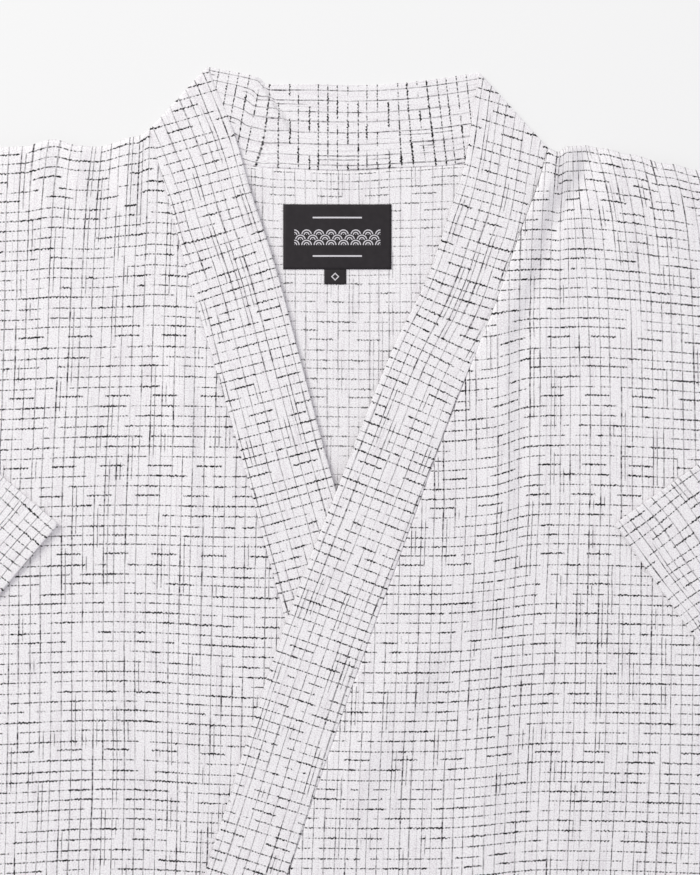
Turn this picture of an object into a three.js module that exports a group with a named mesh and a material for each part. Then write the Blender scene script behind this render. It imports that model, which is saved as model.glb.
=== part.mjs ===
// A jinbei set laid flat, front up: a wrap-front cotton jacket whose sleeve ends are folded over the
// front, and its shorts below the hem. Millimetres, +Z up, +Y towards the neck. Left and right are the
// wearer's, so the left front, which lies on top, is on the +X side.
// Sizes are taken from the middle of the shoulder line; the last lines move the set so that its box
// stands centred on the origin.

import * as THREE from 'three';

// Walls and gaps
const ply = 1.2; // one layer of cloth
const bandWall = 2.0; // the collar band, folded on itself
const sleeveWall = 2.6; // both layers of a folded sleeve, as one solid
const labelWall = 0.8;
const tieWall = 1.0;
const gap = 0.3; // between pieces that are sewn or lie together
const seamGap = 0.36; // along X at the band seams, which run at a slant, so it is the same gap
const frontGap = 0.4; // between the back and the fronts
const flapGap = 0.5; // between a front and the sleeve end folded over it
const ease = 0.9; // extra air under a front, away from its edges

// Jacket
const halfBody = 300;
const hemY = -735;
const crossingY = -223; // where the free edges of the two fronts cross
const underEdgeSlope = 0.27; // how far the under front's free edge moves in +X for each mm down
const overRise = 2.8; // what the over front gains where it lies on the under band
const sleeveLift = 3.0; // what the body gains where a sleeve is tucked beneath it
const liftFrom = 120;
const liftTo = 230;
const tuckedTo = -475; // the tucked sleeves end here
const settledAt = -570; // and the body is down on the floor again here
const tieWidth = 18;

// Shorts
const shortsGap = 40;
const shortsTop = hemY - shortsGap;
const halfWaist = 190;
const waistHeight = 38;
const elasticRipple = 0.7;
const elasticWaves = 4; // ripples on each side of the middle
const legLooseness = 1.4; // extra air under a front leg
const legMiddle = 150; // where it is greatest

// Shoulder line of the body, from the collar out to the shoulder point.
const leftShoulder = [
  { x: 133, y: -2 },
  { x: 141, y: -3.5 },
  { x: 154, y: 0 },
  { x: 186, y: -6 },
  { x: 232, y: -16.5 },
  { x: halfBody, y: -27 },
];
const rightShoulder = [
  { x: -125.5, y: 10.5 },
  { x: -134, y: 5.5 },
  { x: -160, y: -0.5 },
  { x: -188, y: 3.5 },
  { x: -223, y: -1.5 },
  { x: -halfBody, y: -8 },
];

// Seam of the collar round the back of the neck, and the free edge of the collar above it.
const neckSeam = [
  { x: -125.5, y: 10.5 },
  { x: -64, y: -12 },
  { x: -41, y: -14.5 },
  { x: 4, y: -16 },
  { x: 44, y: -14 },
  { x: 76, y: -12 },
  { x: 133, y: -2 },
];
const collarEdge = [
  { x: -88, y: 51 },
  { x: -59, y: 45 },
  { x: -48, y: 40 },
  { x: -18, y: 40 },
  { x: 21, y: 39.7 },
  { x: 57, y: 43 },
  { x: 88, y: 47.5 },
];

// The two collar bands, a row for each section from the fold over the shoulder down to the hem.
const overBand = [
  { freeX: 88, freeY: 47.5, seamX: 133, seamY: -2 },
  { freeX: 80, freeY: -8, seamX: 127, seamY: -24 },
  { freeX: 69, freeY: -45, seamX: 114, seamY: -60 },
  { freeX: 54, freeY: -88, seamX: 99, seamY: -103 },
  { freeX: 33, freeY: -131, seamX: 80, seamY: -150 },
  { freeX: 12, freeY: -183, seamX: 60, seamY: -202 },
  { freeX: -9, freeY: -237, seamX: 41, seamY: -255 },
  { freeX: -32, freeY: -296, seamX: 19, seamY: -315 },
  { freeX: -57, freeY: -369, seamX: -7, seamY: -388 },
  { freeX: -83, freeY: -452, seamX: -35, seamY: -471 },
  { freeX: -176, freeY: hemY, seamX: -122, seamY: hemY },
];
const underBand = [
  { freeX: -88, freeY: 51, seamX: -125.5, seamY: 10.5 },
  { freeX: -71, freeY: 8, seamX: -121, seamY: -8 },
  { freeX: -60, freeY: -30, seamX: -111, seamY: -44 },
  { freeX: -44, freeY: -79, seamX: -98, seamY: -94 },
  { freeX: -29, freeY: -135, seamX: -81, seamY: -151 },
  { freeX: -13, freeY: -195, seamX: -64, seamY: -210 },
  { freeX: 2.5, freeY: -250, seamX: -49.5, seamY: -264 },
  { freeX: 30, freeY: -350, seamX: -22, seamY: -365 },
  { freeX: 60, freeY: -460, seamX: 8, seamY: -475 },
  { freeX: 135, freeY: hemY, seamX: 80, seamY: hemY },
];

// The largest folds, as soft ridges: two ends, half width and height.
const leftFrontFolds = [
  { x0: 143, y0: 0, x1: 126, y1: -100, halfWidth: 11, height: 3.4 },
  { x0: 160, y0: 0, x1: 152, y1: -52, halfWidth: 10, height: 2.6 },
  { x0: 112, y0: -120, x1: 112, y1: -262, halfWidth: 14, height: 1.8 },
  { x0: 60, y0: -330, x1: 32, y1: -470, halfWidth: 16, height: 1.4 },
];
const rightFrontFolds = [
  { x0: -176, y0: 0, x1: -168, y1: -60, halfWidth: 12, height: 1.8 },
  { x0: -104, y0: -146, x1: -96, y1: -310, halfWidth: 14, height: 1.6 },
  { x0: -150, y0: -330, x1: -140, y1: -520, halfWidth: 18, height: 1.2 },
];
const collarFolds = [{ x0: -56, y0: 44, x1: -34, y1: 18, halfWidth: 7, height: 1.4 }];

// Sleeves: where the cuff's shoulder corner lies on the front, how steeply the shoulder fold climbs
// away from it, and how much of the cuff shows.
const sleeves = {
  left: { side: 1, tipX: 176, tipY: -246, climb: 35.5, shoulderEdge: 225, cuffEdge: 230 },
  right: { side: -1, tipX: -184.5, tipY: -246, climb: 40.3, shoulderEdge: 225, cuffEdge: 195 },
};
const rollRadius = 4.8;
const tuckedInnerX = 234;
const lip = 3; // the least that a flap reaches past its roll
const cuffSlot = { depth: 2.4, halfOpening: 0.2 }; // parts the two layers of a cuff

// Sections of a sleeve from the shoulder to the crease's upper end: the share of the way to the
// shoulder point, and the roll, which closes up as the sleeve flattens.
const sleeveHead = [
  { share: 0.88, roll: 2.9 },
  { share: 0.45, roll: 3.8 },
];
// Sections of the flap: shares of the way along the crease down to the cuff's shoulder corner, and
// from there down to the cuff's lower end.
const flapShares = [0, 0.33, 0.66, 1];
const cuffShares = [0.33, 0.67, 1];

// The label and the tab under it, as two corners.
const label = { x0: -39, y0: -80.5, x1: 31, y1: -38.5 };
const tab = { x0: -12, y0: -91, x1: 3.5, y1: -80.8 };

// Middle lines of the two ties on the under front.
const frontTie = [
  { x: -92, y: -508 },
  { x: -130, y: -520 },
  { x: -165, y: -575 },
  { x: -176, y: -715 },
];
const sideTie = [
  { x: -298, y: -508 },
  { x: -262, y: -520 },
  { x: -232, y: -575 },
  { x: -226, y: -700 },
];

// One leg of the shorts, from the waist down: inner and outer edge.
const legOutline = [
  { drop: 38, inner: 0.15, outer: 190 },
  { drop: 90, inner: 0.15, outer: 222 },
  { drop: 180, inner: 0.15, outer: 252 },
  { drop: 285, inner: 0.15, outer: 272 },
  { drop: 300, inner: 5, outer: 275 },
  { drop: 330, inner: 14, outer: 280 },
  { drop: 430, inner: 24, outer: 290 },
  { drop: 550, inner: 30, outer: 298 },
];

const cotton = new THREE.MeshStandardMaterial({ color: 0xeceaec, roughness: 0.9, metalness: 0 });
const wovenLabel = new THREE.MeshStandardMaterial({ color: 0x1c1b1e, roughness: 0.7, metalness: 0 });

// ---- Helpers ----

// A soft step from 0 at `from` to 1 at `to`, in either direction.
function ramp(from, to, value) {
  const t = THREE.MathUtils.clamp((value - from) / (to - from), 0, 1);
  return t * t * (3 - 2 * t);
}

// Even fractions from 0 to 1, or fractions that crowd towards 0 when power is above 1.
function fractions(count, power = 1) {
  return Array.from({ length: count + 1 }, (_, i) => Math.pow(i / count, power));
}

// Points along the smooth curve through a table's rows.
function along(table, keyX, keyY, params) {
  const curve = new THREE.SplineCurve(table.map((row) => new THREE.Vector2(row[keyX], row[keyY])));
  return params.map((t) => curve.getPointAt(t));
}

function line(x0, y0, x1, y1, params) {
  return params.map((t) => new THREE.Vector2(x0 + (x1 - x0) * t, y0 + (y1 - y0) * t));
}

// Fills the space inside four edges with rows of points. top and bottom follow us, left and right
// follow vs; the corners meet.
function fill(top, bottom, left, right, us, vs) {
  return vs.map((v, j) =>
    us.map((u, i) => {
      const point = new THREE.Vector2();
      point.addScaledVector(top[i], 1 - v).addScaledVector(bottom[i], v);
      point.addScaledVector(left[j], 1 - u).addScaledVector(right[j], u);
      point.addScaledVector(top[0], -(1 - u) * (1 - v)).addScaledVector(top.at(-1), -u * (1 - v));
      point.addScaledVector(bottom[0], -(1 - u) * v).addScaledVector(bottom.at(-1), -u * v);
      return point;
    }),
  );
}

// Height of a table of ridges at a place: a rounded crest that fades at both ends of its line.
function ridges(table, x, y) {
  let height = 0;
  for (const fold of table) {
    const dx = fold.x1 - fold.x0;
    const dy = fold.y1 - fold.y0;
    const length = Math.hypot(dx, dy);
    const t = ((x - fold.x0) * dx + (y - fold.y0) * dy) / (length * length);
    const away = ((x - fold.x0) * dy - (y - fold.y0) * dx) / length;
    const fade = ramp(-0.2, 0.1, t) * ramp(1.15, 0.75, t);
    height += fold.height * fade * Math.exp(-((away / fold.halfWidth) ** 2));
  }
  return height;
}

// A closed wall of cloth: rows of plan points, the height of its underside, and its thickness.
function sheet(name, material, rows, under, wall) {
  const count = rows[0].length;
  const lower = rows.flat().map((p) => new THREE.Vector3(p.x, p.y, under(p.x, p.y)));
  const upper = lower.map((p) => new THREE.Vector3(p.x, p.y, p.z + wall));
  const corners = [...lower, ...upper];
  const at = (j, i, layer) => layer * lower.length + j * count + i;
  const [a, b, c] = [rows[0][0], rows[0][1], rows[1][0]];
  const turned = (b.x - a.x) * (c.y - a.y) - (b.y - a.y) * (c.x - a.x) < 0;
  const faces = [];
  const quad = (p, q, r, s) => faces.push(...(turned ? [p, r, q, p, s, r] : [p, q, r, p, r, s]));
  for (let j = 0; j + 1 < rows.length; j += 1) {
    for (let i = 0; i + 1 < count; i += 1) {
      quad(at(j, i, 1), at(j, i + 1, 1), at(j + 1, i + 1, 1), at(j + 1, i, 1));
      quad(at(j, i, 0), at(j + 1, i, 0), at(j + 1, i + 1, 0), at(j, i + 1, 0));
    }
  }
  const border = [];
  for (let i = 0; i + 1 < count; i += 1) border.push([0, i]);
  for (let j = 0; j + 1 < rows.length; j += 1) border.push([j, count - 1]);
  for (let i = count - 1; i > 0; i -= 1) border.push([rows.length - 1, i]);
  for (let j = rows.length - 1; j > 0; j -= 1) border.push([j, 0]);
  border.forEach(([j, i], k) => {
    const [nextJ, nextI] = border[(k + 1) % border.length];
    quad(at(j, i, 0), at(nextJ, nextI, 0), at(nextJ, nextI, 1), at(j, i, 1));
  });
  return mesh(name, material, corners, faces);
}

// A closed body through rings of equal length, with its two ends filled in.
function loft(name, material, rings) {
  const count = rings[0].length;
  const faces = [];
  for (let k = 0; k + 1 < rings.length; k += 1) {
    for (let i = 0; i < count; i += 1) {
      const next = (i + 1) % count;
      const [a, b] = [k * count + i, k * count + next];
      faces.push(a, b, b + count, a, b + count, a + count);
    }
  }
  const flat = rings[0].map((p) => p.section);
  const cap = THREE.ShapeUtils.triangulateShape(flat, []);
  const last = (rings.length - 1) * count;
  const forward = THREE.ShapeUtils.isClockWise(flat);
  for (const [a, b, c] of cap) {
    faces.push(...(forward ? [a, b, c] : [a, c, b]));
    faces.push(...(forward ? [last + a, last + c, last + b] : [last + a, last + b, last + c]));
  }
  return mesh(name, material, rings.flat().map((p) => p.place), faces);
}

// Faces are turned over as one when the body they close would be inside out.
function mesh(name, material, corners, faces) {
  let volume = 0;
  const normal = new THREE.Vector3();
  for (let k = 0; k < faces.length; k += 3) {
    const [a, b, c] = [corners[faces[k]], corners[faces[k + 1]], corners[faces[k + 2]]];
    volume += a.dot(normal.crossVectors(b, c));
  }
  const geometry = new THREE.BufferGeometry().setFromPoints(corners);
  geometry.setIndex(volume > 0 ? faces : faces.reverse());
  geometry.computeVertexNormals();
  const piece = new THREE.Mesh(geometry, material);
  piece.name = name;
  return piece;
}

// ---- How high each layer lies ----

function shoulderY(x) {
  const table = x > 0 ? leftShoulder : rightShoulder;
  const next = Math.max(1, table.findIndex((row) => Math.abs(row.x) >= Math.abs(x)));
  const [a, b] = [table[next - 1], table[next]];
  return a.y + ((b.y - a.y) * (x - a.x)) / (b.x - a.x);
}

// The body climbs at its sides, over the tucked sleeves.
const lift = (x, y) => sleeveLift * ramp(liftFrom, liftTo, Math.abs(x)) * ramp(settledAt, tuckedTo, y);

// The over front climbs where the under band lies beneath it.
function rise(x, y) {
  const underEdge = (crossingY - y) * underEdgeSlope;
  return overRise * ramp(-110, crossingY + 15, y) * ramp(underEdge + 115, underEdge + 25, x);
}

// A front rests on the back along the shoulder and the side, and is loose between them.
function looseness(x, y) {
  const belowShoulder = shoulderY(THREE.MathUtils.clamp(x, -halfBody, halfBody)) - y;
  return ease * ramp(halfBody, 225, Math.abs(x)) * ramp(0, 50, belowShoulder);
}

const bandHeight = bandWall + frontGap;
const frontHeight = (x, y) => ply + frontGap + lift(x, y) + looseness(x, y);
const underFrontHeight = (x, y) => frontHeight(x, y) + ridges(rightFrontFolds, x, y);
const overFrontHeight = (x, y) => frontHeight(x, y) + rise(x, y) + ridges(leftFrontFolds, x, y);

// ---- Jacket ----

const bodyRows = fractions(20);
const shoulderSteps = fractions(7);
const neckSteps = fractions(10);

function backPanel() {
  const neck = along(neckSeam, 'x', 'y', neckSteps);
  const right = along(rightShoulder, 'x', 'y', shoulderSteps).reverse();
  const left = along(leftShoulder, 'x', 'y', shoulderSteps);
  const top = [...right.slice(0, -1), ...neck, ...left.slice(1)];
  const hem = line(-halfBody, hemY, halfBody, hemY, fractions(top.length - 1));
  const rows = bodyRows.map((v) => top.map((p, i) => p.clone().lerp(hem[i], v)));
  return sheet('back_panel', cotton, rows, lift, ply);
}

function collarBack() {
  const neck = along(neckSeam, 'x', 'y', neckSteps).map((p) => new THREE.Vector2(p.x, p.y + gap));
  const edge = along(collarEdge, 'x', 'y', neckSteps);
  const rows = fractions(3).map((v) => neck.map((p, i) => p.clone().lerp(edge[i], v)));
  return sheet('collar_back', cotton, rows, (x, y) => ridges(collarFolds, x, y), bandWall);
}

function band(name, table, height) {
  const free = along(table, 'freeX', 'freeY', bodyRows);
  const seamEdge = along(table, 'seamX', 'seamY', bodyRows);
  const rows = free.map((p, j) => fractions(3).map((u) => p.clone().lerp(seamEdge[j], u)));
  return sheet(name, cotton, rows, height, bandWall);
}

function front(name, table, shoulder, height) {
  const side = Math.sign(shoulder.at(-1).x);
  const us = fractions(9, 1.35);
  const seamEdge = along(table, 'seamX', 'seamY', bodyRows);
  seamEdge.forEach((p) => p.setX(p.x + side * seamGap));
  const outer = line(side * halfBody, shoulder.at(-1).y, side * halfBody, hemY, bodyRows);
  const top = along(shoulder, 'x', 'y', us);
  top[0] = seamEdge[0];
  const hem = line(seamEdge.at(-1).x, hemY, side * halfBody, hemY, us);
  return sheet(name, cotton, fill(top, hem, seamEdge, outer, us, bodyRows), height, ply);
}

// A sleeve leaves the shoulder point, is tucked behind the body, rolls over a crease beside it and
// comes back over the front as a flap. Each section is cut square to the crease.
function sleeve(name, { side, tipX, tipY, climb, shoulderEdge, cuffEdge }, frontTop) {
  const angle = THREE.MathUtils.degToRad(climb);
  const tip = new THREE.Vector2(tipX, tipY);
  const foldEnd = new THREE.Vector2(side * Math.cos(angle), Math.sin(angle));
  foldEnd.multiplyScalar(shoulderEdge).add(tip);
  const cuffEnd = new THREE.Vector2(side * Math.sin(angle), -Math.cos(angle));
  cuffEnd.multiplyScalar(cuffEdge).add(tip);
  const down = cuffEnd.clone().sub(foldEnd).normalize();
  const inward = new THREE.Vector2(side * down.y, -side * down.x);
  const across = (p) => p.clone().sub(foldEnd).dot(inward);
  const downTo = (p) => p.clone().sub(foldEnd).dot(down);

  const shoulder = new THREE.Vector2(side * halfBody, shoulderY(side * halfBody));
  const cuffLength = downTo(cuffEnd) - downTo(tip);
  const stations = [
    ...sleeveHead.map(({ share, roll }) => ({
      t: downTo(shoulder) * share,
      edge: across(shoulder) * share,
      flap: 0,
      roll,
    })),
    ...flapShares.map((share) => ({
      t: downTo(tip) * share,
      edge: 0,
      flap: across(tip) * share,
      roll: rollRadius,
    })),
    ...cuffShares.map((share) => ({
      t: downTo(tip) + cuffLength * share,
      edge: 0,
      flap: across(tip) * (1 - share),
      roll: rollRadius,
    })),
  ];

  const rings = stations.map(({ t, edge, flap, roll }) => {
    const origin = foldEnd.clone().addScaledVector(down, t);
    const reach = Math.max(flap, edge + roll + lip);
    const tuckedEnd = (Math.abs(origin.x) - tuckedInnerX) / Math.abs(inward.x);
    const planAt = (n) => origin.clone().addScaledVector(inward, n);
    const topUnder = (n) => {
      const p = planAt(n);
      const onBody = Math.abs(p.x) < halfBody ? frontTop(p.x, p.y) + flapGap : 0;
      return Math.max(onBody, roll * 2 - sleeveWall);
    };
    const topEnd = topUnder(reach);
    const half = sleeveWall / 2;
    const section = [];
    const add = (n, z) => section.push(new THREE.Vector2(n, z));
    for (const u of fractions(3)) add(THREE.MathUtils.lerp(tuckedEnd, edge + roll, u), 0);
    for (const u of fractions(6).slice(1)) {
      add(edge + roll - roll * Math.sin(Math.PI * u), roll - roll * Math.cos(Math.PI * u));
    }
    for (const u of fractions(5).slice(1, -1)) {
      const n = THREE.MathUtils.lerp(edge + roll, reach, u);
      add(n, topUnder(n) + sleeveWall);
    }
    add(reach, topEnd + sleeveWall);
    add(reach, topEnd + half + cuffSlot.halfOpening);
    add(reach - cuffSlot.depth, topEnd + half);
    add(reach, topEnd + half - cuffSlot.halfOpening);
    add(reach, topEnd);
    for (const u of fractions(5).slice(1, -1)) {
      const n = THREE.MathUtils.lerp(reach, edge + roll, u);
      add(n, topUnder(n));
    }
    const inner = Math.max(roll - sleeveWall, 0.25);
    for (const u of fractions(6)) {
      const height = roll * 2 - sleeveWall;
      const middle = (height + sleeveWall) / 2;
      add(edge + roll - inner * Math.sin(Math.PI * u), middle + (height - middle) * Math.cos(Math.PI * u));
    }
    for (const u of fractions(3).slice(1)) add(THREE.MathUtils.lerp(edge + roll, tuckedEnd, u), sleeveWall);
    return section.map((s) => {
      const p = planAt(s.x);
      return { section: s, place: new THREE.Vector3(p.x, p.y, s.y) };
    });
  });
  return loft(name, cotton, rings);
}

function rectangle({ x0, y0, x1, y1 }, columns, rowCount) {
  return fractions(rowCount).map((v) => {
    const y = y0 + (y1 - y0) * v;
    return line(x0, y, x1, y, fractions(columns));
  });
}

// A flat tie of even width along a short table of its middle.
function tie(name, middle, height) {
  const steps = fractions(10);
  const curve = new THREE.SplineCurve(middle.map((row) => new THREE.Vector2(row.x, row.y)));
  const rows = steps.map((t) => {
    const p = curve.getPointAt(t);
    const heading = curve.getTangentAt(t);
    const square = new THREE.Vector2(-heading.y, heading.x);
    return [-0.5, 0.5].map((u) => p.clone().addScaledVector(square, u * tieWidth));
  });
  return sheet(name, cotton, rows, height, tieWall);
}

// ---- Shorts ----

function leg(name, side, base, slack) {
  const steps = fractions(10);
  const inner = along(legOutline, 'inner', 'drop', steps);
  const outer = along(legOutline, 'outer', 'drop', steps);
  const rows = inner.map((p, j) =>
    fractions(6).map((u) => {
      const q = p.clone().lerp(outer[j], u);
      return new THREE.Vector2(side * Math.max(q.x, gap / 2), shortsTop - q.y - gap);
    }),
  );
  const height = (x, y) => {
    const belowWaist = shortsTop - waistHeight - y;
    const fromMiddle = Math.abs(Math.abs(x) - legMiddle);
    return base + slack * ramp(0, 60, belowWaist) * ramp(150, 60, fromMiddle);
  };
  return sheet(name, cotton, rows, height, ply);
}

function waistband(name, base) {
  const corners = { x0: -halfWaist, y0: shortsTop - waistHeight, x1: halfWaist, y1: shortsTop };
  const rows = rectangle(corners, 32, 2);
  const turn = (x) => (x / halfWaist) * elasticWaves * 2 * Math.PI;
  const ripple = (x) => elasticRipple * (0.5 - 0.5 * Math.cos(turn(x)));
  return sheet(name, cotton, rows, (x) => base + ripple(x), bandWall);
}

// ---- The set ----

const set = new THREE.Group();
set.name = 'jinbei_set';
const bodyTop = (x, y) => ply + lift(x, y);
const labelHeight = (x, y) => bodyTop(x, y) + gap;
const underTop = (x, y) => underFrontHeight(x, y) + ply;
const overTop = (x, y) => overFrontHeight(x, y) + ply;
const tieHeight = (x, y) => underTop(x, y) + gap;

set.add(
  backPanel(),
  collarBack(),
  front('front_right_under', underBand, rightShoulder, underFrontHeight),
  band('band_right_under', underBand, (x, y) => bandHeight + lift(x, y)),
  front('front_left_over', overBand, leftShoulder, overFrontHeight),
  band('band_left_over', overBand, (x, y) => bandHeight + rise(x, y) + lift(x, y)),
  sleeve('sleeve_left', sleeves.left, overTop),
  sleeve('sleeve_right', sleeves.right, underTop),
  sheet('neck_label', wovenLabel, rectangle(label, 4, 2), labelHeight, labelWall),
  sheet('size_tab', wovenLabel, rectangle(tab, 1, 1), labelHeight, labelWall),
  tie('tie_front', frontTie, tieHeight),
  tie('tie_side', sideTie, tieHeight),
  leg('shorts_back_left', 1, 0, 0),
  leg('shorts_back_right', -1, 0, 0),
  leg('shorts_front_left', 1, ply + gap, legLooseness),
  leg('shorts_front_right', -1, ply + gap, legLooseness),
  waistband('waistband_back', 0),
  waistband('waistband_front', bandWall + gap),
);

const box = new THREE.Box3().setFromObject(set);
const centre = box.getCenter(new THREE.Vector3());
set.position.set(-centre.x, -centre.y, -box.min.z);

export default set;
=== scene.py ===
# %% [markdown]
# # A jinbei set laid flat
#
# A jinbei is a Japanese summer set: a short wrap-front jacket and loose shorts, sewn from one light
# cotton. This set lies on its back with the sleeve ends folded over the front. The cloth is a
# yarn-dyed kasuri check: dark yarns that fade in and out along their length, woven into white.
#
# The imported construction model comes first. It is the frame: it says where every piece lies, and
# nothing here moves or resizes it.

# %% Load the frame
import math

import bmesh
import bpy
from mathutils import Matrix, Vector, noise


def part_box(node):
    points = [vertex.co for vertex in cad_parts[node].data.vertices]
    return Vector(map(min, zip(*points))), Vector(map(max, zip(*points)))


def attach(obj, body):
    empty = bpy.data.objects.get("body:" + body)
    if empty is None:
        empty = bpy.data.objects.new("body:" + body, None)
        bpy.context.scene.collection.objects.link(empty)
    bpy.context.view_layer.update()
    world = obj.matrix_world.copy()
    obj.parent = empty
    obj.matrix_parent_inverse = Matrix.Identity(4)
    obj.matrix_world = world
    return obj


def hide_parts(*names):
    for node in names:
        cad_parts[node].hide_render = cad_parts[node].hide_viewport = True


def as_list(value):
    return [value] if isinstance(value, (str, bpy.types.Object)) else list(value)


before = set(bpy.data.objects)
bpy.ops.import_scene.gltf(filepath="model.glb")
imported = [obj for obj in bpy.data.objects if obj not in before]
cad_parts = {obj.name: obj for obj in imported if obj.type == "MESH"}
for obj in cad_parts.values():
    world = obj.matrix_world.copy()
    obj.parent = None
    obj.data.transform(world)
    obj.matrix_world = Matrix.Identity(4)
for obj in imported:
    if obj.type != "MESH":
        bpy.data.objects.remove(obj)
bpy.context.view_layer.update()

# %% [markdown]
# Lengths below are in millimetres, because that is how a garment is measured, and places are taken
# from the nape: the middle of the shoulder line. The back panel lies square in the frame, so its box
# gives the nape's place. One small function turns a place on the garment into metres in the frame.

# %% Sizes and the nape
MM = 0.001
HALF_BODY = 300
HEM_Y = -735
SHORTS_TOP = HEM_Y - 40

back_low, back_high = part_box("back_panel")
nape = Vector(((back_low.x + back_high.x) / 2, back_low.y - HEM_Y * MM, 0))


def place(x, y, z):
    """A point of the garment, in metres in the frame."""
    return nape + Vector((x, y, z)) * MM


print("nape at", [round(c, 4) for c in nape])

# %% [markdown]
# Two kinds of number describe laid cloth: its outline on the table and its height above it. Outlines
# are smooth lines through a few measured points. Heights are sums of soft steps (where one layer
# climbs over another) and folds.

# %% Soft steps and smooth lines
def ramp(start, end, value):
    """A soft step from 0 at start to 1 at end, in either direction."""
    t = min(1, max(0, (value - start) / (end - start)))
    return t * t * (3 - 2 * t)


def mix(a, b, t):
    """The value, or the point, at the share t of the way from a to b."""
    return a + (b - a) * t


def smooth_line(points, steps=24):
    """A function from 0..1 to the point at that share of the length of a line through points."""
    # A Catmull-Rom curve: each stretch leaves a point in the direction of that point's neighbours.
    points = [Vector(p) for p in points]
    ends = [points[0] * 2 - points[1], *points, points[-1] * 2 - points[-2]]
    line = [points[0]]
    for a, b, c, d in zip(ends, ends[1:], ends[2:], ends[3:]):
        for k in range(1, steps + 1):
            t = k / steps
            pull = (c - a) * t + (2 * a - 5 * b + 4 * c - d) * t**2 + (3 * b - a - 3 * c + d) * t**3
            line.append(b + pull * 0.5)
    lengths = [0]
    for a, b in zip(line, line[1:]):
        lengths.append(lengths[-1] + (b - a).length)

    def at(t):
        goal = t * lengths[-1]
        low, high = 0, len(lengths) - 1
        while high - low > 1:
            middle = (low + high) // 2
            low, high = (middle, high) if lengths[middle] <= goal else (low, middle)
        span = lengths[high] - lengths[low]
        return line[low].lerp(line[high], (goal - lengths[low]) / span)

    at.length = lengths[-1]
    return at


def level_at(points, x):
    """How far up a line that runs across the body lies, at x."""
    for (x0, y0), (x1, y1) in zip(points, points[1:]):
        if x <= x1:
            return mix(y0, y1, ramp(x0, x1, x) if x > x0 else 0)
    return points[-1][1]


print("a fifth of the way along, a soft step has risen", round(ramp(0, 10, 2), 2))

# %% [markdown]
# The shoulder line isn't straight: the cloth was smoothed by hand, so it dips and rises by a few
# millimetres, and beside the left collar it puckers up. The collar seam crosses the neck in a shallow
# bow. Read from the wearer's right to the left, the three stretches are the top edge of the body.

# %% Outlines of the jacket
# Each is a list of x, y.
RIGHT_SHOULDER = [
    (-300, -8), (-223, -1.5), (-208, -1), (-188, 3.6),
    (-172, -0.4), (-160, -1), (-134, 5.5), (-125.5, 10.5),
]
LEFT_SHOULDER = [
    (133, -2), (140, -4.5), (146, -1), (158, 0.2), (168, -2),
    (186, -6), (209, -12), (232, -16.5), (300, -27),
]
NECK_SEAM = [(-125.5, 10.5), (-64, -12), (-41, -14.5), (4, -16), (44, -14), (76, -12), (133, -2)]
COLLAR_EDGE = [(-88, 51), (-58, 45), (-52, 40.4), (-44, 40), (-18, 40), (21, 39.7), (57, 43), (88, 47.5)]

# One row for each section of a collar band: free edge x, y, then seam x, y.
OVER_BAND = [
    (88, 47.5, 133, -2),
    (80, -8, 127, -24),
    (69, -45, 114, -60),
    (54, -88, 99, -103),
    (33, -131, 80, -150),
    (12, -183, 60, -202),
    (-9, -237, 41, -255),
    (-32, -296, 19, -315),
    (-57, -369, -7, -388),
    (-83, -452, -35, -471),
    (-176, HEM_Y, -122, HEM_Y),
]
UNDER_BAND = [
    (-88, 51, -125.5, 10.5),
    (-71, 8, -121, -8),
    (-60, -30, -111, -44),
    (-44, -79, -98, -94),
    (-29, -135, -81, -151),
    (-13, -195, -64, -210),
    (2.5, -250, -49.5, -264),
    (30, -350, -22, -365),
    (60, -460, 8, -475),
    (135, HEM_Y, 80, HEM_Y),
]
over_free = smooth_line([(row[0], row[1]) for row in OVER_BAND])
over_seam = smooth_line([(row[2], row[3]) for row in OVER_BAND])
under_free = smooth_line([(row[0], row[1]) for row in UNDER_BAND])
under_seam = smooth_line([(row[2], row[3]) for row in UNDER_BAND])
top_edge = RIGHT_SHOULDER + NECK_SEAM[1:-1] + LEFT_SHOULDER
print("left band is", round(over_free.length), "mm long")

# %% [markdown]
# Where does each layer lie? The back rests on the table, but its sides climb over the tucked sleeves.
# Each front rests on the back along the shoulder and the side and has some air under it between
# them. The left front climbs once more where it crosses the right band. The steps are the
# construction model's, so the visible cloth stays inside its solids.

# %% Heights of the layers
CLOTH = 0.6           # thickness of one layer
BAND_WALL = 1.4       # the collar is cloth folded round its seam allowances
FRONT_LOW = 1.6       # underside of a front where it touches the back
BAND_LOW = 2.4        # underside of a collar band on the fronts, before its waves
BAND_SWAY = 0.35      # how far those lift it, on average
COLLAR_LOW = 0.3      # underside of the collar behind the neck
SLEEVE_LIFT = 3.0     # how far a tucked sleeve lifts the body
BAND_LIFT = 2.8       # how far the right band lifts what crosses it
AIR = 1.3             # air under a front
CROSSING_Y = -223     # where the two bands cross
BAND_LEAN = 0.27      # how far the right band moves across for each step down


def lift(x, y):
    """How far the tucked sleeves lift the body."""
    return SLEEVE_LIFT * ramp(120, 230, abs(x)) * ramp(-570, -475, y)


def rise(x, y):
    """How far the left front climbs over the right band."""
    under_edge = (CROSSING_Y - y) * BAND_LEAN
    return BAND_LIFT * ramp(-110, CROSSING_Y + 15, y) * ramp(under_edge + 115, under_edge + 25, x)


def nothing(x, y):
    """For a piece that nothing lifts, or that nothing pulls out of its grain."""
    return 0


def below_shoulder(x, y):
    return level_at(RIGHT_SHOULDER if x < 0 else LEFT_SHOULDER, x) - y


def looseness(x, y):
    """Height of the air under a front, away from the shoulder and the side."""
    return AIR * ramp(HALF_BODY, 225, abs(x)) * ramp(0, 50, below_shoulder(x, y))


print("the cloth beside the sleeve is lifted", round(lift(290, -300), 1), "mm")

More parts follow.
